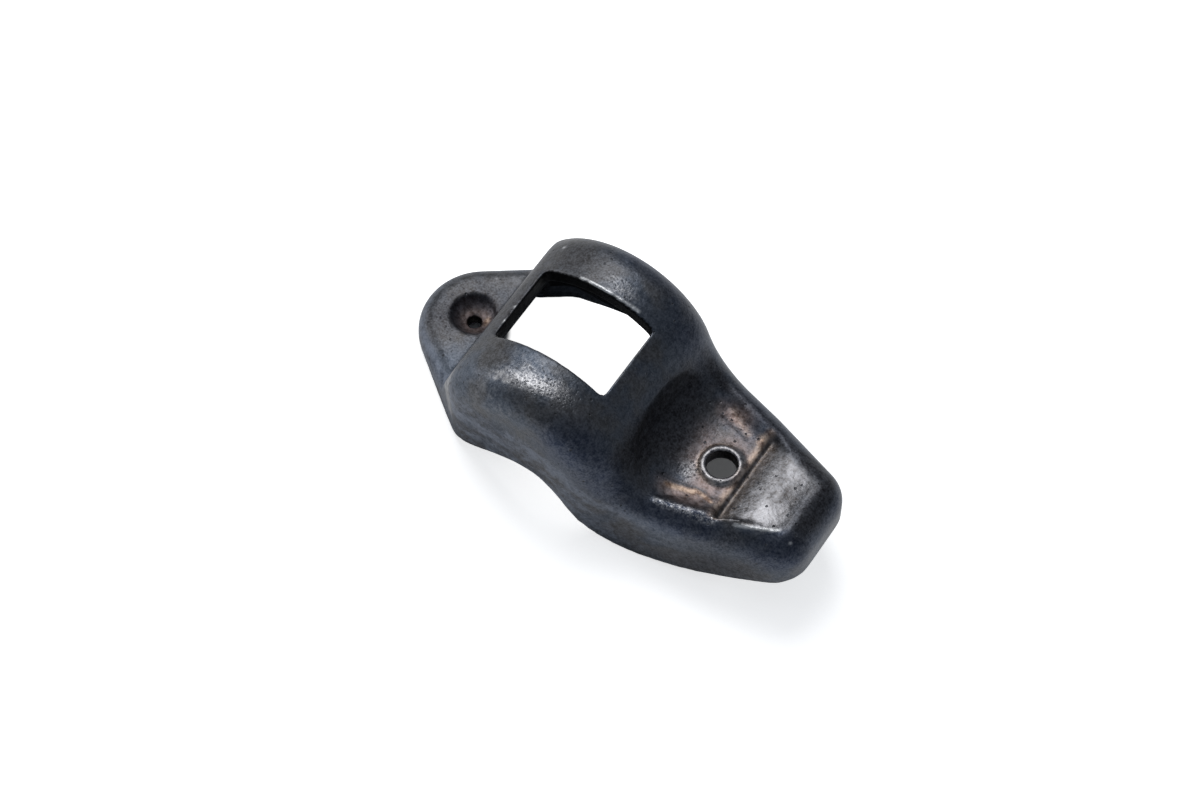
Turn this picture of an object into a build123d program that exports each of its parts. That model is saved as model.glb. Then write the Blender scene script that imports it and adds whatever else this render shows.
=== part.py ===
from build123d import *
from math import acos, atan2, cos, degrees, radians, sin, tan
import os

# A stamped steel rocker arm: one piece of sheet, drawn to a barrel over the fulcrum, a tray between
# two rails at the valve end and a round nose with a cup at the pushrod end, with a skirt all round.
# It is modelled in its draw frame: X runs from the pushrod cup to the valve pad, Y is the fulcrum
# axis, Z is the draw direction and the origin is on the fulcrum axis. At the end it is laid down on
# its rim, with the trough underneath. All sizes are in millimetres.

# Sheet
sheet = 2.7                    # thickness of the steel

# Plan outline, seen along the draw direction
nose_centre_x = -17.4          # centre of the round pushrod end
nose_radius = 10.2
barrel_half_width = 17.25
barrel_left_corner_x = -10.8   # where the parallel sides of the barrel begin
barrel_left_corner_radius = 6.0
barrel_right_corner_x = 11.8   # where they end
barrel_right_corner_radius = 10.0
waist_x = 30.0                 # bend in the taper
waist_half_width = 12.85
waist_corner_radius = 30.0
tip_x = 45.8                   # straight end of the valve side
tip_half_width = 8.2
tip_corner_radius = 5.6

# Side profile
barrel_radius = 17.3           # outside of the fulcrum barrel
valley_radius = 8.0            # blend from the barrel down to the rails
rail_height = 1.2              # rail crest above the fulcrum axis, at the waist
rail_slope = 4.6               # degrees, falling towards the tip
fold_x = -12.65                # sharp fold where the barrel turns down to the nose
flank_angle = 72.0             # degrees from the plateau
flank_foot_radius = 0.8        # bend from the flank into the plateau
plateau_height = 3.15          # flat of the nose above the fulcrum axis
shoulder_radius = 5.2          # rounded edge of the barrel and the rails
nose_shoulder_radius = 3.1

# Window for the fulcrum bolt
window_left_x = -9.95
window_right_x = 9.85
window_half_width = 7.1
window_corner_radius = 1.0

# Tray between the rails
tray_margin = 2.6              # from the plan outline to the tray wall
tray_floor = -0.45
tray_radius = 4.4              # broad bend between side wall and floor
scoop_left_x = 14.9            # the floor sweeps up to here under the barrel
scoop_plan_radius = 35.0
scoop_bend_radius = 9.0
coin_depth = 0.2               # coined patch between the feet of the side walls

# Valve pad
step_x = 31.0                  # straight step between the coined patch and the pad
step_half_width = 9.0          # the pad flares out to this at the step
pad_flare = 3.0                # length of the flare
pad_margin = 4.1               # from the plan outline to the pad
pad_crown_x = 38.2
pad_crown_height = 0.25        # above the fulcrum axis
pad_radius = 18.0              # crown of the wear surface

# Holes
oil_hole_x = 27.1
oil_hole_diameter = 4.8
collar_diameter = 6.8
collar_height = 0.55
oil_hole_chamfer = 0.45        # on the underside
cup_x = -19.0
cup_ball_radius = 4.0
cup_depth = 2.7
cup_wall = 2.2
cup_hole_diameter = 2.1

# Trimmed rim of the skirt, as depth below the fulcrum axis
rim_nose_depth = 0.6           # at the end of the nose
rim_cup_depth = 2.3            # beside the cup
rim_heel_x = -12.5             # front foot of the barrel
rim_heel_depth = 3.9
rim_arch_left_x = -0.5         # arch beside the fulcrum
rim_arch_left_depth = 0.75
rim_arch_right_x = 3.0
rim_arch_right_depth = 0.55
rim_flank_x = 10.4             # steep run down to the belly
rim_flank_depth = 6.6
rim_belly_x = 19.0             # touches the ground when the arm lies on its rim
rim_belly_depth = 12.1
rim_waist_depth = 12.4
rim_pad_depth = 10.9           # under the valve pad
rim_tip_depth = 8.0

# Help values
lap = 1.0                      # blocks reach this far past what trims them
skirt_depth = 30.0             # how far the skirt is drawn before its rim is trimmed
pick = 0.1                     # tolerance for choosing edges by their place

fold_z = (barrel_radius**2 - fold_x**2) ** 0.5
flank_foot_x = fold_x - (fold_z - plateau_height) / tan(radians(flank_angle))
barrel_end_x = flank_foot_x - lap
barrel_end_z = fold_z + (fold_x - barrel_end_x) * fold_x / fold_z
nose_left_x = nose_centre_x - nose_radius
coined_floor = tray_floor - coin_depth
cup_bottom = plateau_height - cup_depth
cup_centre = (cup_x, 0, cup_bottom + cup_ball_radius)
rim_stations = [
    (nose_left_x - lap, -rim_nose_depth),
    (cup_x - lap, -rim_cup_depth),
    (rim_heel_x, -rim_heel_depth),
    (rim_arch_left_x, -rim_arch_left_depth),
    (rim_arch_right_x, -rim_arch_right_depth),
    (rim_flank_x, -rim_flank_depth),
    (rim_belly_x, -rim_belly_depth),
    (waist_x, -rim_waist_depth),
    (pad_crown_x, -rim_pad_depth),
    (tip_x + lap, -rim_tip_depth),
]


def rail_z(x):
    """Height of the rail crest above the fulcrum axis."""
    return rail_height - (x - waist_x) * tan(radians(rail_slope))


def plan_outline(with_nose):
    """Closed plan outline; without the nose the barrel's sides run on straight to the left."""
    across = barrel_left_corner_x - nose_centre_x
    swing = atan2(barrel_half_width, across) + acos(
        nose_radius / (across**2 + barrel_half_width**2) ** 0.5
    )
    tangent_point = (nose_centre_x + nose_radius * cos(swing), nose_radius * sin(swing))
    square_corner = (barrel_end_x - lap, barrel_half_width)
    corners = [
        (barrel_right_corner_x, barrel_half_width),
        (waist_x, waist_half_width),
        (tip_x, tip_half_width),
        (tip_x, 0),
    ]
    radii = [barrel_right_corner_radius, waist_corner_radius, tip_corner_radius]
    with BuildSketch() as outline:
        with BuildLine():
            if with_nose:
                RadiusArc((nose_left_x, 0), tangent_point, nose_radius)
                FilletPolyline(
                    tangent_point,
                    (barrel_left_corner_x, barrel_half_width),
                    *corners,
                    radius=[barrel_left_corner_radius, *radii],
                )
            else:
                Line((square_corner[0], 0), square_corner)
                FilletPolyline(square_corner, *corners, radius=radii)
            mirror(about=Plane.XZ)
        make_face()
    return outline.sketch


def side_profile():
    """Closed side profile: the barrel circle running through the valley down to the rails."""
    right = tip_x + barrel_radius
    with BuildSketch() as profile:
        Circle(barrel_radius)
        with BuildLine():
            Polyline(
                (0, -skirt_depth),
                (right, -skirt_depth),
                (right, rail_z(right)),
                (0, rail_z(0)),
                close=True,
            )
        make_face()
        valley = profile.vertices().sort_by_distance((barrel_radius, rail_z(barrel_radius)))[0]
        fillet(valley, valley_radius)
        with BuildLine():
            Polyline(
                (0, -skirt_depth),
                (0, fold_z),
                (fold_x, fold_z),
                (barrel_end_x, barrel_end_z),
                (barrel_end_x, -skirt_depth),
                close=True,
            )
        make_face()
    return profile.sketch


def barrel_and_rails(inset):
    """Barrel, rails and tip in one block with rounded shoulders, cut off along the flank."""
    inward = Vector(sin(radians(flank_angle)), 0, -cos(radians(flank_angle)))
    with BuildPart() as block:
        with BuildSketch(Plane.XZ.offset(-2 * barrel_half_width)):
            add(side_profile())
            offset(amount=-inset)
        extrude(amount=4 * barrel_half_width)
        with BuildSketch(Plane.XY.offset(-skirt_depth)):
            add(plan_outline(with_nose=True))
            offset(amount=-inset)
        extrude(amount=2 * skirt_depth, mode=Mode.INTERSECT)
        left_end = barrel_end_x + inset
        shoulders = block.edges().filter_by(Axis.Z, reverse=True).filter_by(
            lambda edge: edge.center().Z > -skirt_depth / 2 and edge.center().X > left_end + pick
        )
        fillet(shoulders, shoulder_radius - inset)
        flank = Plane(origin=Vector(fold_x, 0, fold_z) + inward * inset, z_dir=inward)
        split(bisect_by=flank, keep=Keep.TOP)
    return block.part


def nose(inset):
    """Round pushrod end with a flat plateau and its own softer shoulder."""
    with BuildPart() as block:
        with BuildSketch(Plane.XY.offset(-skirt_depth)):
            add(plan_outline(with_nose=True))
            offset(amount=-inset)
            with Locations((tip_x / 2, 0)):
                Rectangle(tip_x, 3 * barrel_half_width, mode=Mode.SUBTRACT)
        extrude(amount=skirt_depth + plateau_height - inset)
        rounded = block.faces().sort_by(Axis.Z)[-1].edges().filter_by(
            lambda edge: edge.center().X < -pick
        )
        fillet(rounded, nose_shoulder_radius - inset)
    return block.part


def form(inset):
    """The whole arm without its tray, as if pressed from a solid, moved in by inset."""
    with BuildPart() as block:
        add(barrel_and_rails(inset))
        add(nose(inset))
        if inset == 0:
            foot = block.edges().filter_by(Axis.Y).filter_by(
                lambda edge: abs(edge.center().Z - plateau_height) < pick
                and edge.center().X < fold_x
            )
            fillet(foot, flank_foot_radius)
    return block.part


def scoop(floor, growth):
    """Room over a floor that sweeps up to the barrel like the side of a very wide dish."""
    with BuildPart() as room:
        with BuildSketch(Plane.XY.offset(floor - growth)):
            with Locations((scoop_left_x + scoop_plan_radius, 0)):
                Circle(scoop_plan_radius + growth)
        extrude(amount=skirt_depth)
        fillet(room.faces().sort_by(Axis.Z)[0].edges(), scoop_bend_radius + growth)
    return room.part


def tray(growth):
    """Room of the tray up to the step, grown outward by growth for the underside of the sheet."""
    span = 2 * barrel_half_width
    with BuildPart() as room:
        with BuildSketch(Plane.XY.offset(tray_floor - growth)):
            add(plan_outline(with_nose=False))
            offset(amount=growth - tray_margin)
            with Locations((step_x + span / 2, 0)):
                Rectangle(span, 2 * span, mode=Mode.SUBTRACT)
        extrude(amount=skirt_depth)
        bends = room.faces().sort_by(Axis.Z)[0].edges().filter_by(
            lambda edge: edge.center().X < step_x - pick
        )
        fillet(bends, tray_radius + growth)
        add(scoop(tray_floor, growth), mode=Mode.INTERSECT)
    return room.part


def coined_patch():
    """Room of the shallow patch stamped in the tray floor between the feet of its walls."""
    span = 2 * barrel_half_width
    with BuildPart() as room:
        with BuildSketch(Plane.XY.offset(coined_floor)):
            add(plan_outline(with_nose=False))
            offset(amount=-tray_margin - tray_radius)
            with Locations((step_x + span / 2, 0)):
                Rectangle(span, 2 * span, mode=Mode.SUBTRACT)
        extrude(amount=shoulder_radius)
        add(scoop(coined_floor, 0), mode=Mode.INTERSECT)
    return room.part


def pad_room(growth):
    """Room above the crowned valve pad, grown by growth for the underside of the sheet."""
    crown_centre = pad_crown_height - pad_radius
    flare_right_x = step_x + pad_flare
    taper = atan2(waist_half_width - tip_half_width, tip_x - waist_x)
    flare_half_width = (
        waist_half_width - (flare_right_x - waist_x) * tan(taper) - pad_margin / cos(taper)
    )
    with BuildPart() as room:
        with BuildSketch(Plane.XZ.offset(-barrel_half_width)):
            with Locations(((step_x + tip_x) / 2, 0)):
                Rectangle(tip_x - step_x, 2 * barrel_radius)
            with Locations((pad_crown_x, crown_centre)):
                Circle(pad_radius - growth, mode=Mode.SUBTRACT)
            with Locations((pad_crown_x, crown_centre - pad_radius)):
                Rectangle(2 * pad_radius, 2 * pad_radius, mode=Mode.SUBTRACT)
        extrude(amount=2 * barrel_half_width)
        with BuildSketch(Plane.XY.offset(-skirt_depth)):
            add(plan_outline(with_nose=False))
            offset(amount=-pad_margin)
            with BuildLine():
                Polyline(
                    (step_x, step_half_width),
                    (flare_right_x, flare_half_width),
                    (flare_right_x, 0),
                    (step_x, 0),
                    close=True,
                )
            make_face()
            mirror(about=Plane.XZ)
            offset(amount=growth)
        extrude(amount=2 * skirt_depth, mode=Mode.INTERSECT)
    return room.part


def cavity():
    """Trough under the sheet: the inner form, less the undersides of tray, pad and cup."""
    with BuildPart() as room:
        add(form(sheet))
        add(tray(sheet), mode=Mode.SUBTRACT)
        add(pad_room(sheet), mode=Mode.SUBTRACT)
        with Locations(cup_centre):
            Sphere(cup_ball_radius + cup_wall, mode=Mode.SUBTRACT)
    return room.part


def below_rim():
    """Everything under the trimmed edge of the skirt."""
    first, last = rim_stations[0], rim_stations[-1]
    deep = -2 * skirt_depth
    with BuildPart() as room:
        with BuildSketch(Plane.XZ.offset(-2 * barrel_half_width)):
            with BuildLine():
                Spline(*rim_stations)
                Polyline(last, (last[0], deep), (first[0], deep), first)
            make_face()
        extrude(amount=4 * barrel_half_width)
    return room.part


with BuildPart() as pressing:
    add(form(0))
    add(tray(0), mode=Mode.SUBTRACT)
    add(pad_room(0), mode=Mode.SUBTRACT)
    add(coined_patch(), mode=Mode.SUBTRACT)
    add(cavity(), mode=Mode.SUBTRACT)
    # Window
    with BuildSketch(Plane.XY):
        with Locations(((window_left_x + window_right_x) / 2, 0)):
            RectangleRounded(
                window_right_x - window_left_x, 2 * window_half_width, window_corner_radius
            )
    extrude(amount=2 * barrel_radius, mode=Mode.SUBTRACT)
    # Oil hole with its raised collar above and a chamfer underneath
    with BuildSketch(Plane.XY.offset(coined_floor)):
        with Locations((oil_hole_x, 0)):
            Circle(collar_diameter / 2)
    extrude(amount=collar_height)
    with Locations((oil_hole_x, 0, tray_floor)):
        Cylinder(oil_hole_diameter / 2, 4 * sheet, mode=Mode.SUBTRACT)
    hole_bottom = pressing.edges().filter_by(GeomType.CIRCLE).sort_by_distance(
        (oil_hole_x, 0, tray_floor - sheet)
    )[0]
    chamfer(hole_bottom, oil_hole_chamfer)
    # Pushrod cup and its oil hole
    with Locations(cup_centre):
        Sphere(cup_ball_radius, mode=Mode.SUBTRACT)
    with Locations((cup_x, 0, cup_bottom)):
        Cylinder(cup_hole_diameter / 2, 4 * cup_wall, mode=Mode.SUBTRACT)
    # Skirt trimmed to its rim
    add(below_rim(), mode=Mode.SUBTRACT)

# The arm is laid down on the end of its nose and the belly of its skirt
with BuildLine(Plane.XZ) as rim:
    Spline(*rim_stations)
rim_points = [rim.line @ (step / 200) for step in range(201)]
nose_foot = min(rim_points, key=lambda point: abs(point.X - nose_left_x))
lie_angle = max(
    degrees(atan2(nose_foot.Z - point.Z, point.X - nose_foot.X))
    for point in rim_points
    if point.X > rim_arch_right_x
)
tilted = pressing.part.rotate(Axis.Y, -lie_angle)
extent = tilted.bounding_box()

with BuildPart() as rocker_arm:
    with Locations((-extent.center().X, 0, -extent.min.Z)):
        add(tilted)

os.makedirs("parts", exist_ok=True)
rocker_arm.part.label = "rocker_arm"
export_step(rocker_arm.part, "parts/rocker_arm.step")
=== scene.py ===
# %% [markdown]
# # A pressed steel rocker arm
# This lesson dresses one part: the arm that rocks over a fulcrum in an engine and opens a valve.
# It was punched from flat sheet, drawn to shape, case hardened, and then ran for years in hot oil.
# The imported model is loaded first. It is the frame that everything else is made to fit.

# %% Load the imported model
import bmesh
import bpy
import numpy as np
from mathutils import Matrix, Vector


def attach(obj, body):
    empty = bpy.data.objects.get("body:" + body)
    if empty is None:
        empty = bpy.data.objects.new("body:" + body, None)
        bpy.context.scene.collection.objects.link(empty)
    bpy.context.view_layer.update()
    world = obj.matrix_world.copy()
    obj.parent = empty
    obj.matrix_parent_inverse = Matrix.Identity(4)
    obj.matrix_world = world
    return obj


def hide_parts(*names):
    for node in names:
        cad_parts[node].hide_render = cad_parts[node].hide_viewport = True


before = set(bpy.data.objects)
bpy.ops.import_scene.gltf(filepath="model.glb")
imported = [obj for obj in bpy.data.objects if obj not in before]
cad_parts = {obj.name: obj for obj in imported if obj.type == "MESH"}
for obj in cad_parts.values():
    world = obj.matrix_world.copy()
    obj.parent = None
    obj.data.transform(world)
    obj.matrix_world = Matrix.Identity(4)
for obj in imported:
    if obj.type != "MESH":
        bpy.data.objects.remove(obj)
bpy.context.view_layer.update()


# %% [markdown]
# ## Two ways to say where something is
# The arm lies tilted on the rim of its skirt. A press designer thinks of it upright in its die:
# X along the arm from cup to pad, Y along the fulcrum axis and Z against the draw. Wear marks and
# tints are easiest to place in that upright frame, so one small turn and shift leads from one
# frame to the other.

# %% From the lying pose to the die's frame, in millimetres
LIE_ANGLE = np.radians(13.742999521304057)
LIE_COS, LIE_SIN = np.cos(LIE_ANGLE), np.sin(LIE_ANGLE)
FULCRUM_AXIS = np.array([-9.787156, 0.0, 7.250549])     # where the die's origin lies, mm


def to_die(points):
    """Rest-pose metres to die millimetres: shifted to the fulcrum axis, then turned about Y."""
    x, y, z = (np.asarray(points) * 1000 - FULCRUM_AXIS).T
    return np.stack([x * LIE_COS + z * LIE_SIN, y, z * LIE_COS - x * LIE_SIN], axis=-1)


def to_rest(points):
    """Die millimetres to rest-pose metres: turned back about Y, then shifted back."""
    x, y, z = np.asarray(points, float).T
    turned = np.stack([x * LIE_COS - z * LIE_SIN, y, x * LIE_SIN + z * LIE_COS], axis=-1)
    return (turned + FULCRUM_AXIS) / 1000


print("top of the barrel, m:", to_rest([(0, 0, 17.3)]).round(4).tolist())


# %% [markdown]
# ## The camera
# A long lens looks down on the arm from the side of its skirt, as for a catalogue. Its place, the
# direction that it looks in and its roll about that direction are three plain facts, so they are
# given as such and turned into a matrix. The image is 1200 pixels wide, so a focal length in
# pixels turns into millimetres on a 36 mm sensor.

# %% Camera
FOCAL_PIXELS, IMAGE_WIDTH, SENSOR_MM = 3132.25, 1200, 36
CAMERA_AT = Vector((0.02787613, -0.20860365, 0.44887021))
LOOK_AZIMUTH, LOOK_ELEVATION, ROLL = np.radians([8.91192, 64.471469, 27.449106])

look = Vector((
    -np.sin(LOOK_AZIMUTH) * np.cos(LOOK_ELEVATION),
    np.cos(LOOK_AZIMUTH) * np.cos(LOOK_ELEVATION),
    -np.sin(LOOK_ELEVATION),
))
level_right = Vector((np.cos(LOOK_AZIMUTH), np.sin(LOOK_AZIMUTH), 0))
level_up = level_right.cross(look)
right = level_right * np.cos(ROLL) + level_up * np.sin(ROLL)
up = right.cross(look)

lens = bpy.data.cameras.new("long_lens")
lens.sensor_width = SENSOR_MM
lens.lens = SENSOR_MM * FOCAL_PIXELS / IMAGE_WIDTH
lens.clip_start, lens.clip_end = 0.01, 10
camera = bpy.data.objects.new("camera", lens)
turn = Matrix((right, up, -look)).transposed()
camera.matrix_world = Matrix.Translation(CAMERA_AT) @ turn.to_4x4()
bpy.context.scene.collection.objects.link(camera)
bpy.context.scene.camera = camera
print("lens, mm:", round(lens.lens, 2))


# %% [markdown]
# ## The skin of the pressing
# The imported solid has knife-sharp folds, as a drawing has. Pressed sheet never does: every fold
# flows, and tumbling in a barrel of stones rounds the rim. A voxel remesh gives the copy an even
# net of small faces, and a few rounds of smoothing then let each sharp edge relax into a radius.
# The net follows the axes it is made on, so the copy is stood upright in the die's frame first:
# the step, the window and the floor of the tray then run along the net and stay straight.
# Bevels on the solid's own edges would be the other way, but its fillets meet in slivers there.

# %% Reading and writing all points of a mesh at once
def read_points(mesh):
    """All vertices as rows of x, y and z."""
    points = np.empty(len(mesh.vertices) * 3, np.float32)
    mesh.vertices.foreach_get("co", points)
    return points.reshape(-1, 3).astype(float)


def write_points(mesh, points):
    """Rows of x, y and z back to the vertices."""
    mesh.vertices.foreach_set("co", np.asarray(points, np.float32).ravel())
    mesh.update()


print("vertices in the packed solid:", len(read_points(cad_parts["rocker_arm"].data)))


# %% An even net over the solid
NET_MM = 0.33

flat_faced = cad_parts["rocker_arm"].data.copy()
flat_faced.name = "pressed_skin"
flat_faced.materials.clear()
merged = bmesh.new()
merged.from_mesh(flat_faced)
bmesh.ops.remove_doubles(merged, verts=merged.verts, dist=1e-6)
merged.to_mesh(flat_faced)
merged.free()
write_points(flat_faced, to_die(read_points(flat_faced)))     # upright, and in millimetres
skin = bpy.data.objects.new("pressed_skin", flat_faced)
bpy.context.scene.collection.objects.link(skin)
voxels = skin.modifiers.new("even_net", "REMESH")
voxels.mode = "VOXEL"
voxels.voxel_size = NET_MM
with_net = skin.evaluated_get(bpy.context.evaluated_depsgraph_get())
net = bpy.data.meshes.new_from_object(with_net)
skin.modifiers.clear()
skin.data = net
print("faces:", len(net.polygons))


# %% [markdown]
# ## Smoothing
# Pulling each vertex towards the mean of its neighbours rounds an edge, but it also shrinks the
# sheet. So the rounds alternate between pulling in and pushing out by slightly more, which is
# known as Taubin smoothing: small bumps go and the size stays.

# %% Smoothing as whole arrays
def neighbour_mean(mesh):
    """A function that gives each vertex the sum of its neighbours over their number."""
    ends = np.empty(len(mesh.edges) * 2, np.int32)
    mesh.edges.foreach_get("vertices", ends)
    a, b = ends.reshape(-1, 2).T
    count = len(mesh.vertices)
    links = np.bincount(a, minlength=count) + np.bincount(b, minlength=count)

    def mean(values):
        columns = [
            np.bincount(a, column[b], count) + np.bincount(b, column[a], count)
            for column in values.reshape(count, -1).T
        ]
        sums = np.stack(columns, axis=-1).reshape(values.shape)
        return sums / (links if values.ndim == 1 else links[:, None])

    return mean


EVEN_ROUNDS, PULL_IN, PUSH_OUT = 10, 0.6, 0.62
ROUNDING_ROUNDS, HALF_WAY = 2, 0.5       # plain rounds, each half-way to the neighbours' mean

mean_of = neighbour_mean(net)
points = read_points(net)
for _ in range(EVEN_ROUNDS):
    points += PULL_IN * (mean_of(points) - points)
    points -= PUSH_OUT * (mean_of(points) - points)
for _ in range(ROUNDING_ROUNDS):
    points += HALF_WAY * (mean_of(points) - points)
print("skin box in the die, mm:", points.min(0).round(2), points.max(0).round(2))


# %% [markdown]
# ## A brush for shape and colour
# Folds, wear and stains all need the same thing: a soft spot or a soft stroke somewhere on the
# arm. Both are worked out from distances in the die's frame, so one brush serves for all of them.

# %% Soft patches and strokes
def ease(values, start, end):
    """None before start, one after end: t * t * (3 - 2 * t) with t running from 0 to 1 between."""
    t = np.clip((values - start) / (end - start), 0, 1)
    return t * t * (3 - 2 * t)


def patch(centre, reach):
    """One at the centre and none at the reach: ease of 1 - |(p - centre) / reach|."""
    return ease(1 - np.linalg.norm((points - centre) / reach, axis=1), 0, 1)


def patches(rows):
    """The sum of several patches, each given as centre, reach and strength."""
    return sum(strength * patch(centre, reach) for centre, reach, strength in rows)


def stroke(path, reach, strength=1.0):
    """A brush stroke: |p - (a + t (b - a))| is the distance to each leg, t held between 0 and 1."""
    path = np.array(path, float)
    away = np.full(len(points), np.inf)
    for a, b in zip(path[:-1], path[1:]):
        t = np.clip((points - a) @ (b - a) / ((b - a) @ (b - a)), 0, 1)
        away = np.minimum(away, np.linalg.norm(points - a - t[:, None] * (b - a), axis=1))
    return strength * ease(1 - away / reach, 0, 1)


print("a 3 mm patch on the pad touches", int((patch((38, 0, 0), 3) > 0).sum()), "vertices")


# %% [markdown]
# ## Folds
# Sheet flows round a punch, and the longer it flows, the rounder the fold. So four folds are
# rounder than the drawing has them: the one across the arm behind the barrel, the crease along
# the far rail, the foot of the step and the crest of the near rail. A stroke along each says
# where, and how strongly, the skin may relax towards the mean of its neighbours. Fillets in the
# solid would be the other way, but these folds fade out at their ends, which fillets don't.

# %% Folds that the press left rounder than the drawing
FOLD = [(-12.6, -17.0, 9.0), (-12.6, -14.0, 11.8), (-12.6, 14.0, 11.8), (-12.6, 17.0, 9.0)]
FAR_CREASE = [(13.0, 12.5, 7.0), (20.0, 11.5, 1.6), (30.0, 9.8, 0.9), (40.0, 6.5, 0.4)]
STEP_FOOT = [(31.0, -8.6, -0.6), (31.0, 8.2, -0.6)]
NEAR_CREST = [
    (17.0, -11.8, 3.6), (22.8, -11.3, 1.4), (26.2, -10.5, 1.1), (29.4, -9.9, 0.8), (31.0, -9.5, 0.6),
]
FOLD_ROUNDS = 44

soft = (
    stroke(FOLD, 4.0, 1.6)
    + stroke(FAR_CREASE, 3.4, 1.6)
    + stroke(STEP_FOOT, 1.2, 0.35)
    + stroke(NEAR_CREST, 2.0, 0.9)
)
soft = np.clip(soft, 0, 1)[:, None]
relaxed = points.copy()
for _ in range(FOLD_ROUNDS):
    relaxed += HALF_WAY * soft * (mean_of(relaxed) - relaxed)
moved = np.linalg.norm(relaxed - points, axis=1).max()
print("folds relaxed by up to, mm:", round(float(moved), 2))
points = relaxed
write_points(net, points)


# %% [markdown]
# ## How the skin bends
# The rim is rounded where it bends most, and later wear shows on what stands proud, while what lies
# deep is darkened by oil dirt and by painted shade. All of this follows from one number, the mean
# curvature: how far a vertex stands out of the mean of its neighbours, divided by the square of the
# net's spacing. It is spread over a few neighbours, because hands and oil don't know about single
# vertices.

# %% Curvature, per millimetre
def net_normals():
    """Each vertex's outward unit normal."""
    normals = np.empty(len(net.vertices) * 3, np.float32)
    net.vertex_normals.foreach_get("vector", normals)
    return normals.reshape(-1, 3).astype(float)


def bend(rounds):
    """2 * (p - mean) . normal / spacing^2, then as many rounds of the neighbours' mean."""
    values = -2 * ((mean_of(points) - points) * net_normals()).sum(1) / NET_MM**2
    for _ in range(rounds):
        values = mean_of(values)
    return values


print("sharpest bend before tumbling, 1/mm:", bend(3).max().round(2))


# %% [markdown]
# ## The rim
# The press trims the skirt with a sharp corner on both sides of the cut. Tumbling in a barrel of
# stones, with other arms, takes that corner off. It is found by its place, well below the top of
# the skirt's wall, and by how much it bends, and only those vertices relax.

# %% The rim, tumbled until its corners are round
WALL_TOP = [            # x and z of the line where the forms turn down into the skirt
    (-12, 10.2), (-2, 8.9), (3.4, 8.0), (9, 5.6), (15, 1.3), (21, -0.5), (28, -1.3), (34, -2.1),
    (46, -3.6),
]
CORNER_FROM, CORNER_FULL = 0.25, 0.6      # how much a corner bends, 1/mm
SKIRT_FROM, SKIRT_FULL = 3.0, 4.0         # how far down the wall it lies, mm
RIM_ROUNDS = 18


def below_wall_top():
    """How far each vertex lies below that line, in mm: the line's height there, less its own."""
    return np.interp(points[:, 0], *zip(*WALL_TOP)) - points[:, 2]


rim = ease(bend(3), CORNER_FROM, CORNER_FULL) * ease(below_wall_top(), SKIRT_FROM, SKIRT_FULL)
rim = rim[:, None]
for _ in range(RIM_ROUNDS):
    points += HALF_WAY * rim * (mean_of(points) - points)
write_points(net, points)
print("vertices on the rim:", int((rim > 0.5).sum()), "triangles:", 2 * len(net.polygons))

# %% Normals and bends of the finished skin
normals = net_normals()
curvature = bend(5)
print("curvature, 1/mm:", np.percentile(curvature, [1, 25, 50, 75, 99]).round(3))


# %% [markdown]
# ## Where the years left their marks
# Each mark is a soft patch or a stroke in the die's frame: full in its middle, gone at its reach.
# It is worked out for all vertices at once and kept on the mesh as an attribute, so that the
# material can mix it with fine patterns of its own. Painting by hand would look as good once, but
# it couldn't be read, changed or repeated.

# %% Attributes for the material
mark_names = []


def keep(name, values):
    """A mark, held between 0 and 1, as an attribute that the material reads by name."""
    values = np.clip(values, 0, 1)
    layer = net.attributes.new(name, "FLOAT", "POINT")
    layer.data.foreach_set("value", values.astype(np.float32))
    mark_names.append(name)
    print(name, "covers", round(float((values > 0.5).mean() * 100), 1), "% of the skin")


# %% [markdown]
# ## Sides of the sheet
# The die dragged the skirt's wall downwards, so its streaks follow the depth below the wall's top.
# The inside of the trough never sees a hand, and stays black with oil. There, and on the faces turned
# down, the window's cut and the holes' walls, the near black is also painted shade. It is told apart
# by where a vertex lies and which way it faces.

# %% How far down the skirt
along, across, height = points.T
depth = net.attributes.new("down", "FLOAT", "POINT")
depth.data.foreach_set("value", below_wall_top().astype(np.float32))
on_wall = ease(np.hypot(normals[:, 0], normals[:, 1]), 0.4, 0.8)
keep("skirt", ease(below_wall_top(), -0.8, 1.4) * on_wall * ease(-along, -48, 4))

# %% Inside the trough, the window's cut and the oil holes
OIL_HOLE_X, CUP_X = 27.1, -19.0
OIL_HOLE_WALL, CUP_HOLE_WALL = 2.6, 1.25      # radii just outside the holes' walls
BARREL_INSIDE, BARREL_INSIDE_HALF, BARREL_FOOT = 15.9, 15.6, 13
WINDOW_MIDDLE, WINDOW_HALF_LENGTH, WINDOW_HALF_WIDTH, WINDOW_TOP = -0.05, 10.05, 7.25, 17.15

from_axis = np.hypot(along, height)
from_hole = np.hypot(along - OIL_HOLE_X, across)
from_cup = np.hypot(along - CUP_X, across)
at_tip = np.clip(along - 28, -1, 1) * (np.abs(along - 8) > 21)       # the ends face along X
outward = normals[:, 0] * at_tip + normals[:, 1] * np.sign(across)
under_barrel = (
    ease(BARREL_INSIDE - from_axis, 0, 0.4)
    * (height > 0)
    * (np.abs(across) < BARREL_INSIDE_HALF)
    * (np.abs(along) < BARREL_FOOT)
)
beneath = ease(-normals[:, 2], 0.1, 0.4)
inner_wall = ease(-outward, -0.1, 0.2) * ease(-height, 0.6, 1.4) * (along > 12)
window_cut = (
    (np.abs(along - WINDOW_MIDDLE) < WINDOW_HALF_LENGTH)
    & (np.abs(across) < WINDOW_HALF_WIDTH)
    & (from_axis < WINDOW_TOP)
    & (height > 0)
)
oil_holes = (from_hole < OIL_HOLE_WALL) & (height < -0.3) | (from_cup < CUP_HOLE_WALL) & (height < 0.9)
# Painted shade: faces turned down, the barrel's inside, the tray's inner walls, the window's cut and
# the holes' walls go near black, over the oil that coats them.
keep("inside_oil_and_shade", beneath + under_barrel + inner_wall + window_cut + oil_holes)


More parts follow.
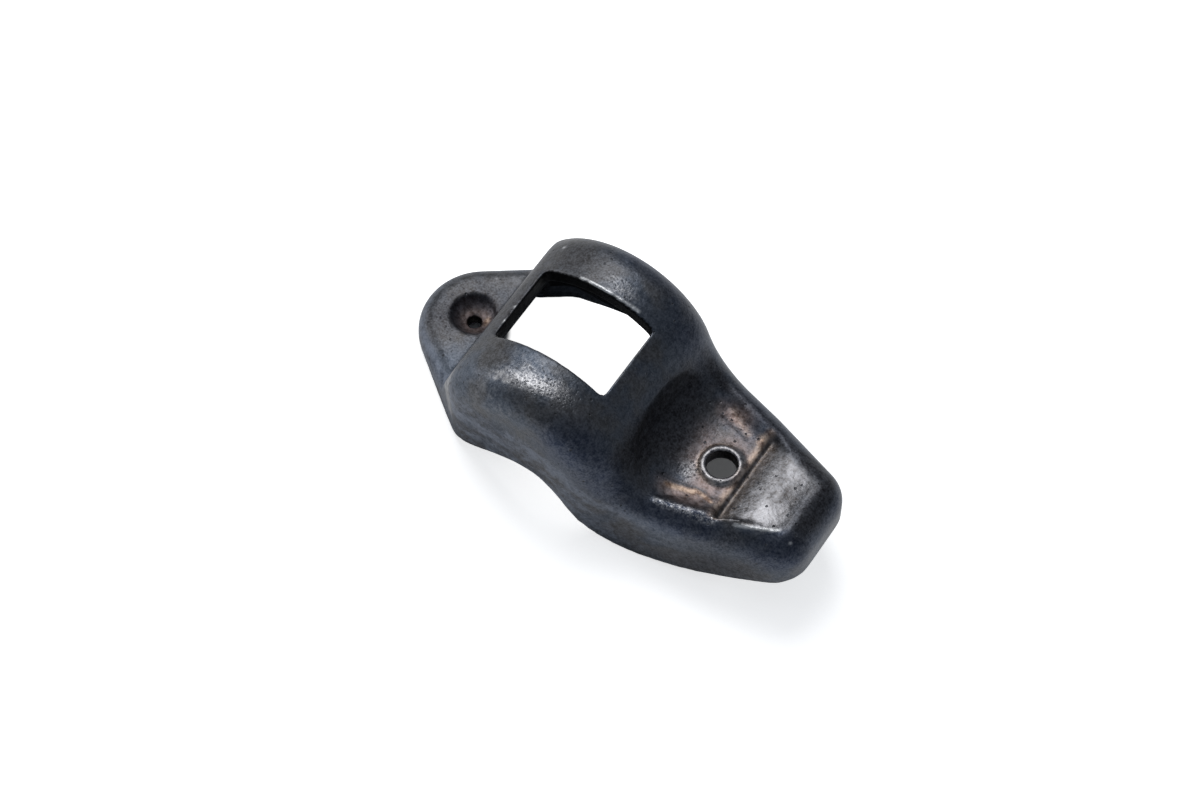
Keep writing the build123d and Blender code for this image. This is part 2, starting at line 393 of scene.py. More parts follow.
# %% [markdown]
# ## Bare metal
# Hands, stones and the parts that the arm ran against rubbed the scale off where it stands proud:
# the barrel's shoulder beside the window, the corner by the nose, the crest of the near rail, the
# collar round the oil hole and the pad under the valve's stem.

# %% Rubbed places
BRIGHT_LIMIT = [(-8, -14.6), (-1.4, -14.2), (1, -13.9), (3.2, -13.3), (4.8, -12.7), (9, -12.0)]
SHOULDER = [(-4.6, -14.0, 16.2), (-1.4, -13.5, 16.9), (1.5, -12.9, 17.1), (4.6, -11.8, 16.5)]
NOSE_CORNER = [(-13.0, -13.6, 9.5), (-13.4, -15.0, 6.5), (-12.8, -16.2, 2.0)]

shoulder = stroke(SHOULDER, 2.8, 0.80) + patches([
    ((0.5, -11.0, 17.2), (8.5, 5.0, 4.0), 0.45),
    ((5.8, -10.6, 16.3), (4.0, 4.0, 3.0), 0.25),
])
shoulder *= ease(across - np.interp(along, *zip(*BRIGHT_LIMIT)), -0.5, 0.5)
keep("worn", shoulder + stroke(NOSE_CORNER, 2.0, 0.9) + patches([
    ((2.4, 9.2, 17.1), (5.5, 3.0, 4.0), 0.55),          # far shoulder, beside the window
    ((38.0, -4.0, 0.2), (5.0, 4.5, 3.0), 0.80),         # valve pad, where the stem met it
    ((39.4, 3.8, 0.2), (3.2, 4.4, 3.0), 0.50),
    ((36.0, 0.5, 0.0), (4.0, 7.0, 2.0), 0.30),
    ((35.6, 5.6, 0.0), (3.5, 3.5, 2.0), 0.30),
    ((23.3, -3.6, -0.4), (3.0, 3.0, 2.0), 0.62),        # oil-washed spot in the tray
    ((-13.2, -14.0, 7.0), (2.6, 4.5, 6.0), 0.45),       # corner between nose and barrel
    ((-20.5, 6.6, 3.2), (4.5, 2.6, 3.0), 0.25),
    ((-4.0, -16.0, 13.0), (8.0, 4.0, 5.0), 0.30),       # under the shoulder
]))

# %% [markdown]
# ## Painted highlights on edges, and nicks
# Where two faces meet in an edge, the scale goes first and the steel is bare. Along the window, along
# the near side of the pad and on the near rail's crest, a near-white thread is also painted: a painted
# highlight where the edge catches the light. A few nicks come from other arms in the barrel. Each is
# a thin stroke, or a patch less than half a millimetre wide.

# %% Painted highlight lines, nicks, and the near crest's wear and painted highlight
WINDOW_EDGE = [(-3.6, 7.3, 17.0), (-1.1, 7.3, 17.3), (2.5, 7.3, 17.1), (6.8, 7.6, 16.0)]
PAD_EDGE = [(34.6, -8.3, 0.5), (36.0, -7.7, 0.4), (38.8, -6.4, 0.4), (40.6, -5.2, 0.2)]
NICKS = [(-10.3, -3.9, 13.9), (-10.5, -0.9, 13.8), (-9.9, 12.1, 14.2), (43.1, -5.8, -0.6)]
NICK_REACH, NICK_STRENGTH = 0.42, 0.8

nicks = sum(NICK_STRENGTH * patch(nick, NICK_REACH) for nick in NICKS)
keep("edge_highlights_and_nicks", stroke(WINDOW_EDGE, 0.42) + stroke(PAD_EDGE, 0.40, 0.9) + nicks)
keep("crest", stroke(NEAR_CREST[1:], 1.5, 0.8))


# %% [markdown]
# ## Collar and pad
# The collar round the oil hole stands a little proud, so hands and stones polish its top into a
# ring. The pad takes the stem of the valve and has a paler, smeared finish of its own, so it is
# told apart from the tray by the step in front of it and by its two sides.

# %% The collar and the valve pad
def ring(radius, half_width, full=1.0):
    """A soft ring round the oil hole: ease of 1 - |distance - radius| / half_width up to full."""
    return ease(1 - np.abs(from_hole - radius) / half_width, 0, full)


NEAR_SIDE = [(31, -9.4), (35.3, -7.9), (38.8, -6.2), (41.4, -4.6)]       # x and y of the pad's sides
FAR_SIDE = [(31, 8.6), (35.2, 7.4), (39, 5.6), (41.4, 4.6)]

keep("collar", ring(3.1, 0.95, full=0.5) * ease(height, -1.3, -0.7) * (np.abs(height) < 1.5))
pad = ease(along, 30.78, 31.0) * ease(-along, -42.4, -39.8) * ease(height, -1.9, -1.3)
pad *= ease(across - np.interp(along, *zip(*NEAR_SIDE)), -0.3, 0.3)
pad *= ease(np.interp(along, *zip(*FAR_SIDE)) - across, -0.6, 1.4)
keep("pad", pad * ease(normals[:, 2], 0.4, 0.8))
keep("oiled", ease(-along, -33.6, -31.8))                # olive painted shadow on the pad, just behind the step

# %% [markdown]
# ## Pits
# Rust and grit bit small pits into the shoulder and the tray, close together where the steel lay
# bare. Only the places are kept here. The pits themselves are far too many for a mesh, and come
# from a pattern of cells in the material.

# %% Pitted places
keep("pitted", patches([
    ((5.6, -10.8, 16.3), (4.5, 4.0, 4.0), 1.2),
    ((0.5, -12.0, 17.2), (8.0, 5.0, 4.0), 0.8),
    ((-11.0, -12.0, 12.5), (5.0, 6.0, 5.0), 1.0),
    ((23.3, -3.6, -0.4), (4.0, 4.0, 2.0), 0.9),
    ((2.2, 9.4, 17.1), (6.0, 4.0, 4.0), 0.5),
]))


# %% [markdown]
# ## Burnt oil, with painted shade and painted highlights
# Oil that bakes on hot steel turns to varnish: copper-brown where it is thick enough to show, gold
# where it is thin, and black soot where it never drains. It gathers in the tray and in the cup.
# The gold also holds painted highlights where the tray's bends and the step's crest catch the light,
# the soot also holds painted shade, and thin black lines of painted shadow lie in the sharpest bends.

# %% Copper-brown varnish
keep("copper", patches([
    ((27.5, -1.0, -0.5), (5.5, 11.0, 2.5), 1.4),        # coined patch and the step
    ((24.5, 8.4, 0.3), (5.0, 3.0, 2.5), 1.3),
    ((24.5, -8.0, 0.3), (6.5, 3.0, 2.5), 1.3),
    ((22.3, 1.0, 0.2), (4.5, 8.0, 2.5), 0.8),
    ((-18.8, 0.0, 1.6), (5.0, 5.0, 4.5), 1.5),          # the cup
]))

# %% Gold: thin varnish, and painted highlights along the tray's near bend, on the step's crest, on the collar's outer wall and in the cup
STEP_CREST = [(30.5, -8.6, 0.1), (30.6, -7.0, -0.6), (30.6, 6.6, -0.6), (30.7, 8.2, 0.3)]

gold_and_highlight = stroke([(22.0, -7.7, 0.0), (24.2, -6.9, -0.6), (26.0, -6.5, -0.6)], 0.8)
gold_and_highlight += stroke([(26.0, -5.9, -0.6), (27.6, -6.1, -0.6), (29.2, -6.5, -0.4)], 0.6, 0.9)
gold_and_highlight += stroke([(23.4, 9.2, 0.1), (25.6, 7.9, -0.2), (27.8, 6.8, -0.4)], 1.0, 0.2)
gold_and_highlight += stroke(STEP_CREST, 1.3, 0.50)
gold_and_highlight += patches([
    ((30.0, 7.0, -0.2), (1.3, 1.6, 1.0), 0.4),
    ((-17.2, 0.9, 0.9), (0.8, 1.2, 1.2), 1.0),          # painted highlight in the cup
])
# painted light: the collar's outer wall is lightened so that it reads brown and not black
gold_and_highlight += 0.55 * ring(3.6, 0.45) * (height > -1.2) * ease(-along, -28.5, -26.0)
keep("gold_and_highlight", gold_and_highlight)

# %% Painted shadow lines in the sharpest bends: the near and far creases of the coined patch, the collar's shaded side and the foot of the step
NEAR_BEND = [
    (19.7, -6.9, 0.9), (21.6, -6.7, -0.1), (23.8, -6.1, -0.6), (26.0, -5.5, -0.6), (27.6, -5.4, -0.6),
]
crease_shadow_lines = stroke(NEAR_BEND, 0.5)
crease_shadow_lines += stroke([(22.4, 7.4, -0.4), (25.3, 6.7, -0.5), (27.9, 5.8, -0.6)], 0.5)
crease_shadow_lines += 0.6 * ring(3.85, 0.35) * (height > -1) * ease(along, 26.5, 28.5)
crease_shadow_lines += stroke([(31.15, -8.4, -0.9), (31.15, 7.9, -0.9)], 0.32, 0.6)
keep("crease_shadow_lines", crease_shadow_lines)

# %% Soot, and painted shade: in the scoop, at the foot of the barrel, along the far crease, at the end of the pad and low on the skirt
keep("soot_and_shade", stroke(FAR_CREASE, 2.0, 0.9) + patches([
    ((17.5, 3.0, 4.5), (6.5, 13.0, 8.0), 1.6),          # scoop and the foot of the barrel
    ((16.0, -6.0, 5.0), (5.5, 8.0, 6.5), 1.4),
    ((20.5, -1.0, 0.5), (4.0, 9.0, 3.0), 0.9),
    ((43.0, 1.5, -0.6), (3.2, 10.0, 2.6), 1.6),         # end of the pad
    ((40.0, 8.0, 0.0), (6.0, 3.0, 3.0), 1.1),
    ((34.0, -11.5, -8.0), (15.0, 6.0, 8.0), 0.9),       # lower skirt
    ((-11.6, 0.0, 13.0), (3.0, 16.0, 4.0), 0.8),        # strip between fold and window
    ((-23.4, -3.5, 3.1), (6.0, 7.0, 3.0), 0.65),        # plateau of the nose
    ((-19.0, 2.0, 3.1), (9.0, 11.0, 2.0), 0.55),
    ((-6.0, 11.5, 16.0), (9.0, 6.0, 6.0), 0.5),
]))


# %% [markdown]
# ## Colours of the heat
# Steel that is quenched and then warmed again takes on tempering colours. On this arm the drawn
# sides went blue, and the top of the barrel and the nose went brown.

# %% Tempering blue
keep("blue", patches([
    ((9.0, -15.5, 11.0), (8.5, 6.0, 7.0), 1.6),
    ((15.0, -15.0, 5.0), (10.0, 6.0, 8.0), 1.4),
    ((28.0, -12.5, 0.0), (16.0, 5.5, 4.5), 1.7),
    ((42.0, -7.5, -2.0), (9.0, 7.0, 6.0), 1.7),
    ((45.0, 3.0, -3.0), (4.0, 9.0, 5.0), 1.0),
    ((13.0, 12.0, 9.0), (10.0, 7.0, 9.0), 1.0),
    ((30.0, 11.0, 0.0), (16.0, 4.5, 4.0), 1.2),
    ((4.0, 15.0, 15.0), (11.0, 4.0, 6.0), 1.2),
]))

# %% Brown
keep("brown", patches([
    ((-7.0, 9.0, 15.5), (11.0, 9.0, 7.0), 1.2),
    ((-11.5, 2.0, 12.8), (3.0, 14.0, 4.0), 1.3),
    ((-20.5, 0.0, 3.0), (9.0, 13.0, 5.0), 1.6),
    ((-8.0, -8.5, 15.0), (4.0, 7.0, 5.0), 1.2),
    ((33.0, 0.0, -0.5), (3.0, 11.0, 2.0), 0.9),
]))

# %% What stands proud, and what lies deep
keep("edge", ease(curvature, 0.35, 1.3) * (1 - np.clip(stroke(FAR_CREASE, 4.0, 1.5), 0, 1)))
# Concave bends are darkened: oil dirt, and painted shade where they lie deep.
keep("hollow_dirt_and_shade", ease(-curvature, 0.2, 0.9) * ease(from_hole, 3.9, 4.6))


# %% [markdown]
# ## Case-hardened steel
# The arm is low-carbon steel sheet. Baking it in carbon and quenching it in oil left a thin, hard
# skin with a dark blue-grey to brown scale. The scale is matt and dark, the steel under it bright.
# The material is a metal throughout, and keeps a metal's usual settings. It is built up in the
# order in which the real one aged: scale, tempering colours, varnish, soot, bare metal where it
# was rubbed, and pits. Painted shade comes with the soot, the hollows, the inside and thin lines
# in the bends, and painted highlights come with the gold and the edges. One function adds every
# node, and takes its settings and its links.

# %% Colours, and the one function that adds a node
def srgb(code):
    """
    A hex colour, as a painter writes it, to the linear values that light adds up in: each part
    over 255, and then over 12.92 where it is dark, or else plus 0.055, over 1.055, to the 2.4.
    """
    value = np.array([int(code[i:i + 2], 16) for i in (1, 3, 5)]) / 255
    linear = np.where(value <= 0.04045, value / 12.92, ((value + 0.055) / 1.055) ** 2.4)
    return (*linear, 1.0)


def add(kind, sockets=(), out=0, **settings):
    """
    A new node in the tree in hand, and the output of it that out names or numbers.
    Sockets maps an input's name or number to a value or to another node's output.
    """
    node = tree.nodes.new("ShaderNode" + kind)
    for name, value in settings.items():
        setattr(node, name, value)
    for name, value in dict(sockets).items():
        if isinstance(value, bpy.types.NodeSocket):
            tree.links.new(value, node.inputs[name])
        else:
            node.inputs[name].default_value = value
    return node.outputs[out] if node.outputs else None


def new_tree(holder):
    """The empty node tree of a material or a world."""
    holder.use_nodes = True
    holder.node_tree.nodes.clear()
    return holder.node_tree


# Settings that recur. A smooth step takes its value, start and end in sockets 0, 1 and 2, and what
# it gives before and after in 3 and 4. A mix takes its factor in 0 and colours in 6 and 7.
SMOOTH = {"interpolation_type": "SMOOTHSTEP"}
COLOURS = {"data_type": "RGBA", "out": 2}
PRODUCT = {"operation": "MULTIPLY", "use_clamp": True}
SUM = {"operation": "ADD", "use_clamp": True}
WEIGHTED = {"operation": "MULTIPLY_ADD", "use_clamp": True}      # 0 times 1, plus 2
print("middle grey, linear:", round(float(srgb("#808080")[0]), 3))

# %% Coordinates in the die's frame, in millimetres
# The Mapping node does what to_die does, so a pattern of size 1 is 1 mm wide on the steel.
steel = bpy.data.materials.new("case_hardened_steel")
tree = new_tree(steel)
die = add("Mapping", {
    "Vector": add("TexCoord", out="Object"),
    "Location": tuple(to_die([(0, 0, 0)])[0]),
    "Rotation": (0, LIE_ANGLE, 0),
    "Scale": (1000, 1000, 1000),
})
marks = {name: add("Attribute", attribute_name=name, out="Fac") for name in mark_names}
print("marks:", ", ".join(marks))


# %% [markdown]
# ## Patterns
# Between them, a few noises give the steel its grain. Each has the size that its cause leaves: heat
# drifts over half a centimetre, oil stains over a few millimetres, and the scale has a matt tooth
# that can just be felt. Along the skirt the noise is drawn out, because the die dragged the metal
# there. These sizes were matched: no sample of the steel was measured.

# %% Noises, each as wide as its name says
CLOUD_MM = 6.0        # drifts of scale colour
BLOTCH_MM = 2.2       # stains
MOTTLE_MM = 0.9       # patchy wear between pits
GRAIN_MM = 0.32       # the matt tooth of the scale, drawn coarser than a real one so that it shows
STREAK_MM = 2.6       # width of the marks that the die drew along the skirt
STREAK_SHRINK = 0.16  # how much the noise is slowed along the wall

cloud = add("TexNoise", {"Vector": die, "Scale": 1 / CLOUD_MM, "Detail": 3, "Roughness": 0.55})
blotch = add("TexNoise", {"Vector": die, "Scale": 1 / BLOTCH_MM, "Detail": 4, "Roughness": 0.6})
mottle = add("TexNoise", {"Vector": die, "Scale": 1 / MOTTLE_MM, "Detail": 3, "Roughness": 0.6})
grain = add("TexNoise", {"Vector": die, "Scale": 1 / GRAIN_MM, "Detail": 2, "Roughness": 0.6})
down_wall = add("CombineXYZ", {
    0: add("SeparateXYZ", {0: die}, out="X"),
    1: add("SeparateXYZ", {0: die}, out="Y"),
    2: add("Attribute", attribute_name="down", out="Fac"),
})
slowed = (STREAK_SHRINK, STREAK_SHRINK, 1.0)
drawn = add("VectorMath", {0: down_wall, 1: slowed}, operation="MULTIPLY")
streak = add("TexNoise", {"Vector": drawn, "Scale": 1 / STREAK_MM, "Detail": 3, "Roughness": 0.5})
fine = add("Mix", {0: marks["pitted"], 2: mottle, 3: grain}, data_type="FLOAT")
tooth = add("Mix", {0: 0.45, 2: grain, 3: mottle}, data_type="FLOAT")
print("noises from", GRAIN_MM, "to", CLOUD_MM, "mm wide")

# %% Pits, on cells that the mottle bends out of their rows, and smears
PIT_MM = 0.62         # from pit to pit, where they lie close
POCK_MM = 1.5         # and where they are rare and larger
BEND_MM = 0.35        # how far the cells are pushed out of line
SMEAR_MM = 1.3        # smears on the pad, along the arm
SMEAR_SHRINK = 0.3    # how much slower they change across it, so that they lie across the pad

bent = add("VectorMath", {0: mottle, 1: (BEND_MM,) * 3, 2: die}, operation="MULTIPLY_ADD")
pit = add("TexVoronoi", {"Vector": bent, "Scale": 1 / PIT_MM}, out="Distance")
pock = add("TexVoronoi", {"Vector": bent, "Scale": 1 / POCK_MM}, out="Distance")
drawn_out = add("VectorMath", {0: bent, 1: (1.0, SMEAR_SHRINK, 1.0)}, operation="MULTIPLY")
smear = add("TexNoise", {"Vector": drawn_out, "Scale": 1 / SMEAR_MM, "Detail": 4, "Roughness": 0.6})
print("pattern nodes:", len(tree.nodes))


# %% [markdown]
# ## Ragged edges
# Nothing on old steel ends along a clean line. Before a mark is used it is pushed up and down by a
# pattern, and where the sum is then cut by a smooth step, the mark breaks up into flecks.

# %% Marks and patterns, stirred and cut
def stirred(base, pattern, gain, middle=0.5):
    """base + gain * (pattern - middle), held between 0 and 1."""
    swing = add("Math", {0: pattern, 1: gain, 2: -gain * middle}, operation="MULTIPLY_ADD")
    return add("Math", {0: base, 1: swing}, **SUM)


often = add("Math", {0: marks["pad"], 1: 0.23, 2: blotch}, **WEIGHTED)
often = add("Math", {0: marks["pitted"], 1: 0.10, 2: often}, **WEIGHTED)
smeared = stirred(stirred(marks["worn"], smear, 1.5, middle=0.413), blotch, 0.5)
CUTS = {                                        # what is cut, and between which values
    "cloudy": (cloud, 0.38, 0.62),
    "streaky": (stirred(stirred(streak, blotch, 0.7), mottle, 0.45), 0.34, 0.72),
    "mottled": (mottle, 0.30, 0.70),
    "rubbed": (stirred(stirred(marks["worn"], fine, 0.7), blotch, 0.7), 0.10, 0.95),
    "rim_wear": (blotch, 0.40, 0.65),
    "crest_wear": (mottle, 0.42, 0.60),
    "crest_glints": (grain, 0.50, 0.68),
    "metal_grain": (fine, 0.34, 0.66),
    "gold_grain": (fine, 0.35, 0.60),
    "smears": (stirred(smeared, mottle, 0.5), 0.0, 1.0),
    "close_pits": (pit, 0.36, 0.18),
    "close_where": (mottle, 0.40, 0.54),
    "rare_pits": (pock, 0.17, 0.08),
    "rare_where": (often, 0.44, 0.54),
    "flecks": (tooth, 0.32, 0.68),
}
cut = {
    name: add("MapRange", {0: pattern, 1: start, 2: end}, **SMOOTH)
    for name, (pattern, start, end) in CUTS.items()
}
print("cuts:", ", ".join(cut))

# %% Two-tone colours
TONES = {                                       # the cut that mixes them, low colour, high colour
    "scale": ("cloudy", "#3F4650", "#484849"),
    "tempered_blue": ("cloudy", "#283143", "#2F3644"),
    "wall": ("cloudy", "#2A313D", "#363435"),
    "varnish": ("mottled", "#5E4D45", "#93807A"),
    "bare_metal": ("metal_grain", "#505156", "#959494"),
    "thin_varnish_and_highlight": ("gold_grain", "#866A57", "#D6BAA2"),
    "valve_pad": ("smears", "#3B3836", "#828183"),
    "tooth": ("flecks", "#111317", "#74777E"),
}
tones = {
    name: add("Mix", {0: cut[by], 6: srgb(low), 7: srgb(high)}, **COLOURS)
    for name, (by, low, high) in TONES.items()
}
tones["drawn_wall"] = add("Mix", {0: cut["streaky"], 6: tones["wall"], 7: srgb("#646B78")}, **COLOURS)
# The olive painted shadow behind the step, laid over the pad's own colour.
oiled = add("Math", {0: marks["oiled"], 1: 0.8}, **PRODUCT)
tones["oiled_pad"] = add("Mix", {0: oiled, 6: tones["valve_pad"], 7: srgb("#564B42")}, **COLOURS)
print("tones:", ", ".join(tones))

# %% [markdown]
# ## Layers over the scale
# A film covers the steel where its mark says, and does so more on a stain than between stains:
# varnish, soot with painted shade, and painted shade with oil dirt in the hollows. Bare metal, painted
# highlights, pits, painted shadow lines and the painted black of the inside come over the films.
# Each layer is a cover and a colour in one list, and a loop lays them on in turn: the order can be
# read, and is easy to change.

# %% Films over the scale: mark, cover between stains and on them, and colour
STAIN_FROM, STAIN_FULL = 0.35, 0.68       # the blotches' values at which a stain starts and is full

FILMS = [
    ("brown", 0.55, 0.95, srgb("#45423F")),
    ("blue", 0.85, 1.00, tones["tempered_blue"]),
    ("skirt", 0.90, 0.90, tones["drawn_wall"]),
    ("copper", 0.65, 1.00, tones["varnish"]),
    # soot, with painted shade under the barrel, in the scoop, on the far crease and at the pad's end
    ("soot_and_shade", 0.80, 0.96, srgb("#232123")),
    # painted shade in concave bends, with oil dirt
    ("hollow_dirt_and_shade", 0.45, 0.45, srgb("#262425")),
]
layers = []
for name, between, on, film in FILMS:
    stained = {0: blotch, 1: STAIN_FROM, 2: STAIN_FULL, 3: between, 4: on}
    stain = add("MapRange", stained, **SMOOTH)
    layers.append((add("Math", {0: marks[name], 1: stain}, **PRODUCT), film))
print("films:", ", ".join(name for name, *_ in FILMS))

# %% Bare metal: rubbed, along edges, on the crest and on the collar; and the painted highlights on the crest and the edges
RIM_SHARE, CREST_SHARE, COLLAR_SHARE, CREST_HIGHLIGHT_SHARE = 0.25, 0.8, 0.85, 0.6

off_pad = add("Math", {0: 1.0, 1: marks["pad"]}, operation="SUBTRACT", use_clamp=True)
on_rim = add("Math", {0: marks["edge"], 1: cut["rim_wear"]}, **PRODUCT)
on_crest = add("Math", {0: marks["crest"], 1: cut["crest_wear"]}, **PRODUCT)
crest_highlights = add("Math", {0: marks["crest"], 1: cut["crest_glints"]}, **PRODUCT)
bare = add("Math", {0: cut["rubbed"], 1: off_pad}, **PRODUCT)
shares = ((on_rim, RIM_SHARE), (on_crest, CREST_SHARE), (marks["collar"], COLLAR_SHARE))
for where, share in shares:
    bare = add("Math", {0: where, 1: share, 2: bare}, **WEIGHTED)
# Painted highlights: near-white flecks on the near crest and the thin edge lines, with the nicks.
highlights_and_nicks = add("Math", {0: crest_highlights, 1: CREST_HIGHLIGHT_SHARE, 2: marks["edge_highlights_and_nicks"]}, **WEIGHTED)
print("nodes with the bare metal:", len(tree.nodes))

# %% Pits, close together where the steel is pitted and rare elsewhere, with painted shadow lines and the painted black inside
PITS_AND_SHADOW_LINES_COVER, INSIDE_BLACK_COVER, TOOTH_COVER = 0.88, 0.92, 0.32
INSIDE_SMOOTH = 0.9       # how much of the tooth is filled with oil inside

pitted = add("Math", {0: marks["pitted"], 1: cut["close_where"]}, **PRODUCT)
close = add("Math", {0: cut["close_pits"], 1: pitted}, **PRODUCT)
rare = add("Math", {0: cut["rare_pits"], 1: cut["rare_where"]}, **PRODUCT)
holes = add("Math", {0: close, 1: rare}, **SUM)
# The pits and the painted shadow lines share one near-black colour.
pits_and_shadow_lines = add("Math", {0: holes, 1: marks["crease_shadow_lines"]}, **SUM)
pits_and_shadow_lines_cover = add("Math", {0: pits_and_shadow_lines, 1: PITS_AND_SHADOW_LINES_COVER}, **PRODUCT)
# near-black painted shade over the oil inside
oil_and_shade_black = add("Math", {0: marks["inside_oil_and_shade"], 1: INSIDE_BLACK_COVER}, **PRODUCT)
outside = add("Math", {0: marks["inside_oil_and_shade"], 1: -INSIDE_SMOOTH, 2: 1.0}, **WEIGHTED)
toothed = add("Math", {0: outside, 1: TOOTH_COVER}, **PRODUCT)
print("pits every", PIT_MM, "mm where close and", POCK_MM, "mm where rare")

# %% The layers, laid one over the other
# Over the films: bare metal, gold varnish with painted highlights, the pad, near-white painted
# highlights with nicks, pits with painted shadow lines, painted shade inside, and the tooth.
layers += [
    (bare, tones["bare_metal"]),
    (marks["gold_and_highlight"], tones["thin_varnish_and_highlight"]),
    (marks["pad"], tones["oiled_pad"]),
    # near-white painted highlights, and the nicks
    (highlights_and_nicks, srgb("#D9DADB")),
    (pits_and_shadow_lines_cover, srgb("#161517")),
    (oil_and_shade_black, srgb("#0D0C0E")),
    (toothed, tones["tooth"]),
]
colour = tones["scale"]
for cover, layer in layers:
    colour = add("Mix", {0: cover, 6: colour, 7: layer}, **COLOURS)
print("layers over the scale:", len(layers))


# %% [markdown]
# ## Gloss and relief
# Scale is matt, rubbed steel has a satin gloss, edges that were polished by use are glossier, and
# soot is dull. The relief has three depths: the scale's tooth, the pits, and a slow unevenness
# that drawing leaves in sheet. They are chained, so that each bump leans on the one before it.

# %% Gloss
SCALE_MATT, METAL_MATT, POLISHED_MATT, SOOT_MATT = 0.48, 0.38, 0.30, 0.55

metal = add("Math", {0: marks["pad"], 1: 0.8, 2: bare}, **WEIGHTED)
soot_and_shade_cover = add("Math", {0: marks["soot_and_shade"], 1: 0.8}, **PRODUCT)
matt = SCALE_MATT
for cover, roughness in ((metal, METAL_MATT), (highlights_and_nicks, POLISHED_MATT), (soot_and_shade_cover, SOOT_MATT)):
    matt = add("Mix", {0: cover, 2: matt, 3: roughness}, data_type="FLOAT")
matt = stirred(matt, mottle, 0.2)
print("roughness from", POLISHED_MATT, "to", SOOT_MATT)

# %% Relief, and the shader
TOOTH_DEPTH, PIT_DEPTH, SWAY_DEPTH = 0.00009, 0.00010, 0.00030       # metres

bitten = {"Height": holes, "Strength": 0.7, "Distance": PIT_DEPTH}
swaying = {"Height": blotch, "Strength": 0.5, "Distance": SWAY_DEPTH}
relief = add("Bump", {"Height": tooth, "Strength": 0.5, "Distance": TOOTH_DEPTH})
relief = add("Bump", {**bitten, "Normal": relief}, invert=True)
relief = add("Bump", {**swaying, "Normal": relief})
looks = {"Base Color": colour, "Metallic": 1.0, "Roughness": matt, "Normal": relief}
shader = add("BsdfPrincipled", looks)
add("OutputMaterial", {"Surface": shader})
net.materials.append(steel)
print("nodes in the steel:", len(tree.nodes))


# %% [markdown]
# ## The skin stands for the solid
# The skin goes back to the pose in which the arm lies, rides on the arm's body and takes the
# solid's place in every view. The solid stays in the model, where it stops other parts.

# %% Back to the rest pose
write_points(net, to_rest(points))
net.shade_smooth()
skin.name = "rocker_arm_skin"
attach(skin, "root")
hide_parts("rocker_arm")
print(skin.name, "has", len(net.vertices), "vertices")


# %% [markdown]
# ## Table
# The arm lies on white paper. Its matt face scatters the light evenly, so that nothing is mirrored
# in it and the arm's shadow is soft. Under weak lamps it would come out grey, so it also shines a
# little, but only for rays that come from the camera, or from a mirror or glass: the arm isn't lit
# by it. Right under the arm, where a real table is dark, it doesn't shine for mirror rays. The
# paper is also seen through the openings: white through the window, and dim through the two small
# holes, which are deep for their width. From below the camera looks through the sheet.

# %% Where the table shines
TABLE_SIZE = 3
PAPER_SHINE, THROUGH_WINDOW, THROUGH_HOLE, THROUGH_CUP = 0.65, 0.5, 0.05, 0.0
SPOTS = {                                       # x, y, radius within, radius beyond, all in metres
    "window": (-0.0150, 0.0085, 0.019, 0.024),
    "oil_hole": (0.0156, 0.0062, 0.009, 0.011),
    "cup_hole": (-0.0280, 0.0006, 0.005, 0.006),
    "under_barrel": (-0.014, 0, 0.017, 0.028),
    "under_tray": (0.006, 0, 0.016, 0.026),
    "under_pad": (0.022, 0, 0.012, 0.022),
}
paper = bpy.data.materials.new("white_paper")
tree = new_tree(paper)
place = add("TexCoord", out="Object")
spots = {}
for name, (x, y, within, beyond) in SPOTS.items():
    away = add("VectorMath", {0: place, 1: (x, y, 0)}, out="Value", operation="DISTANCE")
    spots[name] = add("MapRange", {0: away, 1: beyond, 2: within}, **SMOOTH)
barrel_or_tray = add("Math", {0: spots["under_barrel"], 1: spots["under_tray"]}, operation="MAXIMUM")
footprint = add("Math", {0: barrel_or_tray, 1: spots["under_pad"]}, operation="MAXIMUM")
print("spots on the table:", ", ".join(spots))

# %% White paper
# Under the window the paper shines more for the camera: painted light that lifts the arm's shadow
# there, so the window shows white.
to_camera = add("Math", {0: spots["window"], 1: THROUGH_WINDOW, 2: PAPER_SHINE}, **WEIGHTED)
for spot, shine in ((spots["oil_hole"], THROUGH_HOLE), (spots["cup_hole"], THROUGH_CUP)):
    to_camera = add("Mix", {0: spot, 2: to_camera, 3: shine}, data_type="FLOAT")
to_mirrors = add("Mix", {0: footprint, 2: PAPER_SHINE, 3: 0.0}, data_type="FLOAT")
camera_ray = add("LightPath", out="Is Camera Ray")
mirror_ray = add("Math", {
    0: add("LightPath", out="Is Glossy Ray"), 1: add("LightPath", out="Is Transmission Ray"),
}, **SUM)
camera_shine = add("Math", {0: camera_ray, 1: to_camera}, **PRODUCT)
mirror_shine = add("Math", {0: mirror_ray, 1: to_mirrors}, **PRODUCT)
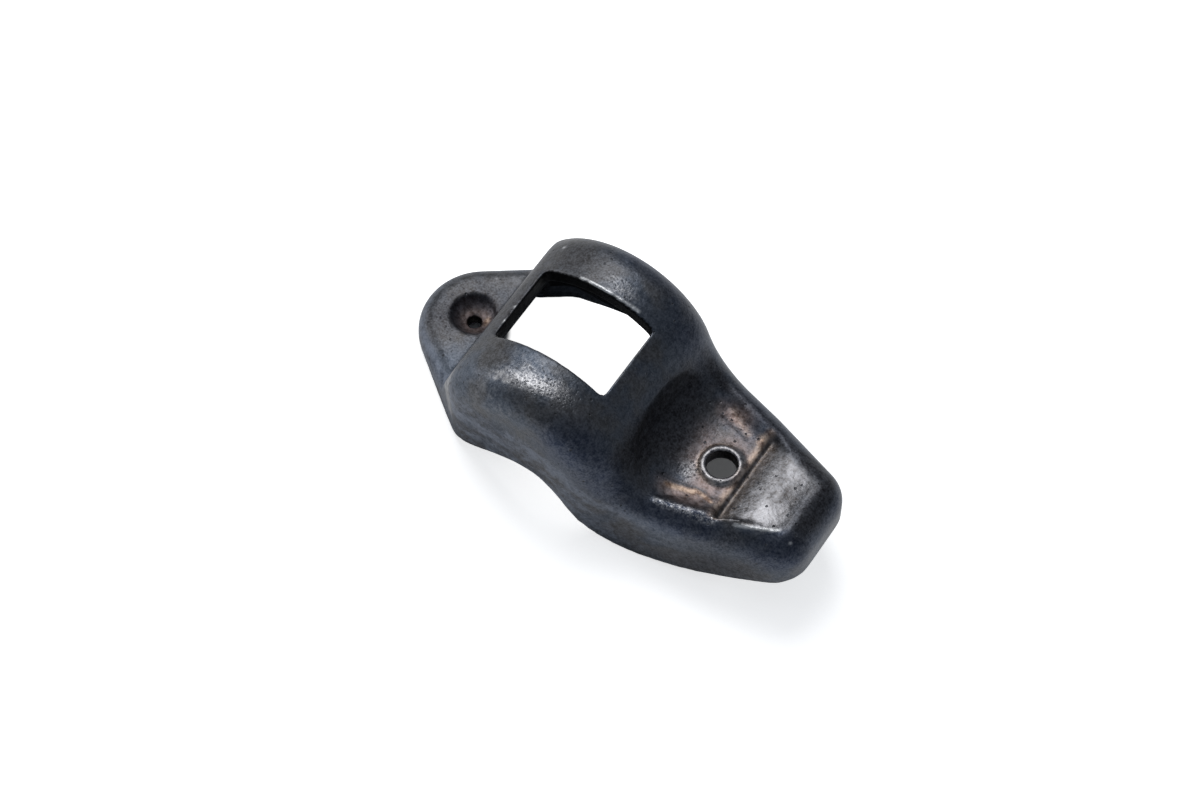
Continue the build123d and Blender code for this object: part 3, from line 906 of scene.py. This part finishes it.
shine = add("Emission", {"Strength": add("Math", {0: camera_shine, 1: mirror_shine}, **SUM)})
matt_white = add("BsdfDiffuse", {"Color": srgb("#E4E4E4")})
sheet = add("AddShader", {0: matt_white, 1: shine})
underside = add("NewGeometry", out="Backfacing")
seen_from_below = add("Math", {0: underside, 1: camera_ray}, **PRODUCT)
see_through = add("MixShader", {0: seen_from_below, 1: sheet, 2: add("BsdfTransparent")})
add("OutputMaterial", {"Surface": see_through})
print("nodes in the paper:", len(tree.nodes))

# %% Table top
bpy.ops.mesh.primitive_plane_add(size=TABLE_SIZE, location=(0, 0, 0))
table = bpy.context.object
table.name = "table"
table.data.materials.append(paper)
print("table:", TABLE_SIZE, "m wide")


# %% [markdown]
# ## Light
# Two soft boxes and a pale room light the arm as in a small studio. The key comes from above and
# behind the barrel, so that it draws the shoulder, the collar and the pad. The side box fills the
# nose. Both are weak: the steel shows its colours about as they are written.

# %% Soft boxes
LAMP_DISTANCE, AIM_HEIGHT = 0.6, 0.012        # metres
SOFT_BOXES = [                                # name, direction in the die's frame, size in m, watts
    ("key_soft_box", (-0.32, 0.32, 0.89), 0.35, 2.6),
    ("side_soft_box", (-0.85, -0.25, 0.45), 0.30, 1.0),
]
for name, toward, size, power in SOFT_BOXES:
    lamp = bpy.data.lights.new(name, "AREA")
    lamp.size = size
    lamp.energy = power
    holder = bpy.data.objects.new(name, lamp)
    way = Vector(to_rest([toward])[0] - to_rest([(0, 0, 0)])[0]).normalized()
    holder.location = Vector((0, 0, AIM_HEIGHT)) + way * LAMP_DISTANCE
    holder.rotation_mode = "QUATERNION"
    holder.rotation_quaternion = way.to_track_quat("Z", "Y")
    bpy.context.scene.collection.objects.link(holder)
    print(name, "at", [round(c, 3) for c in holder.location])

# %% The room
world = bpy.data.worlds.new("room")
bpy.context.scene.world = world
tree = new_tree(world)
sky = add("Background", {"Color": srgb("#DDE6F2"), "Strength": 0.35})
add("OutputWorld", {"Surface": sky})
bpy.context.scene.view_settings.view_transform = "Standard"
print("view transform:", bpy.context.scene.view_settings.view_transform)
